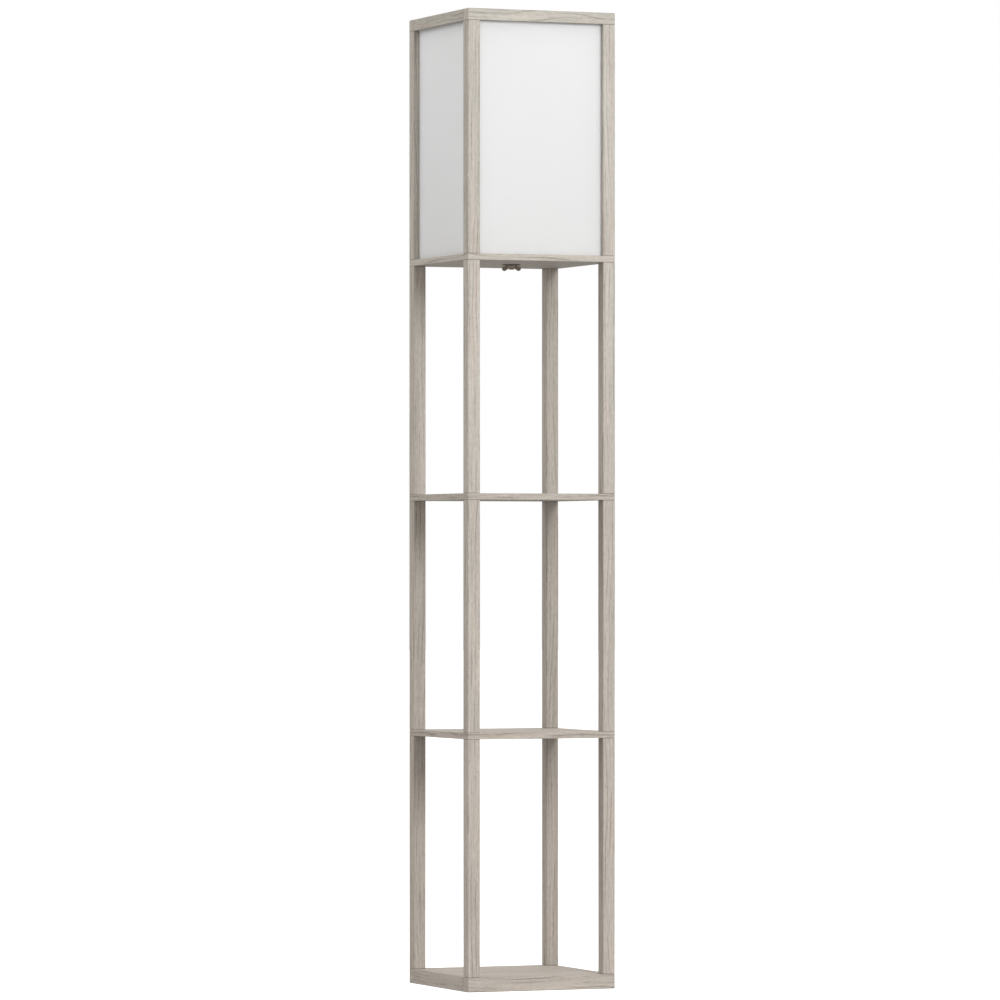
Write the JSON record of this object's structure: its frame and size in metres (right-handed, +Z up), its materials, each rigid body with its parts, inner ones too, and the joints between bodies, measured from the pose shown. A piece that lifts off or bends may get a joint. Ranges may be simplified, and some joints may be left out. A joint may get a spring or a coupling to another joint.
{
  "type": "shelf floor lamp",
  "caption": "Tall square wooden floor lamp with open shelves between corner posts, a fabric-sided shade on top and a wing nut clamping the lampholder from below.",
  "frame": {"origin": "middle of the base's underside, on the floor", "axes": "+Z up along the posts, -Y out of the front face, +X to the right seen from the front"},
  "size_m": [0.26, 0.26, 1.6],
  "materials": {
    "wood": "pale grey-beige wood-look laminate, satin",
    "shade_fabric": "white linen-look fabric on a plastic liner, matt",
    "zinc_steel": "zinc-plated steel",
    "insert_zinc": "zinc alloy inserts",
    "dowel_wood": "bare beech dowels",
    "clamp_metal": "dull grey plated metal",
    "holder_plastic": "white moulded plastic",
    "holder_ceramic": "glazed white ceramic",
    "contact_brass": "bare brass",
    "shell_metal": "nickel-plated sheet",
    "cap_metal": "bright aluminium cap",
    "tip_metal": "solder-bright contact",
    "insulator_glass": "black insulator",
    "bulb_plastic": "white plastic housing",
    "light_board": "light board",
    "globe_opal": "opal globe"
  },
  "bodies": {
    "tower": {"base_front": "wood", "base_back": "wood", "base_left": "wood", "base_right": "wood", "base_panel": "wood", "top_rail_front": "wood", "top_rail_back": "wood", "top_rail_left": "wood", "top_rail_right": "wood", "post_front_left_lower": "wood", "post_front_left_middle": "wood", "post_front_left_upper": "wood", "post_front_left_shade": "wood", "post_front_right_lower": "wood", "post_front_right_middle": "wood", "post_front_right_upper": "wood", "post_front_right_shade": "wood", "post_rear_left_lower": "wood", "post_rear_left_middle": "wood", "post_rear_left_upper": "wood", "post_rear_left_shade": "wood", "post_rear_right_lower": "wood", "post_rear_right_middle": "wood", "post_rear_right_upper": "wood", "post_rear_right_shade": "wood", "shelf_lower": "wood", "shelf_middle": "wood", "lamp_board": "wood", "shade_panel_front": "shade_fabric", "shade_panel_back": "shade_fabric", "shade_panel_left": "shade_fabric", "shade_panel_right": "shade_fabric", "board_studs": "zinc_steel", "base_bolts": "zinc_steel", "base_washers": "zinc_steel", "post_inserts": "insert_zinc", "rail_pins": "dowel_wood", "frame_dowels": "dowel_wood", "rail_dowels": "dowel_wood", "threaded_tube": "clamp_metal", "seat_washer": "clamp_metal", "holder_cap": "holder_plastic", "holder_sleeve": "holder_plastic", "holder_core": "holder_ceramic", "holder_terminals": "contact_brass", "holder_contact": "contact_brass", "holder_screw_shell": "shell_metal"},
    "clamp_washer": {"nut_washer": "clamp_metal"},
    "wing_nut": {"wing_nut": "clamp_metal"},
    "bulb_foot": {"bulb_tip": "tip_metal", "bulb_insulator": "insulator_glass"},
    "bulb": {"bulb_cap": "cap_metal", "bulb_housing": "bulb_plastic", "bulb_light_board": "light_board", "bulb_globe": "globe_opal"}
  },
  "joints": [
    {"name": "washer_slide", "type": "slide", "parent": "tower", "child": "clamp_washer", "axis": [0, 0, 1], "range_m": [-0.005, 0]},
    {"name": "wing_nut_turn", "type": "hinge", "parent": "clamp_washer", "child": "wing_nut", "pos_m": [0, 0, 1.186], "axis": [0, 0, 1], "range_deg": [-1800, 0]},
    {"name": "bulb_rise", "type": "slide", "parent": "tower", "child": "bulb_foot", "axis": [0, 0, 1], "range_m": [0, 0.01452]},
    {"name": "bulb_turn", "type": "hinge", "parent": "bulb_foot", "child": "bulb", "pos_m": [0, 0, 1.2554], "axis": [0, 0, 1], "range_deg": [0, 1440]}
  ],
  "couplings": [
    {"joint": "washer_slide", "follows": "wing_nut_turn", "m_per_rad": 0.00015915},
    {"joint": "bulb_rise", "follows": "bulb_turn", "m_per_rad": 0.00057757}
  ]
}
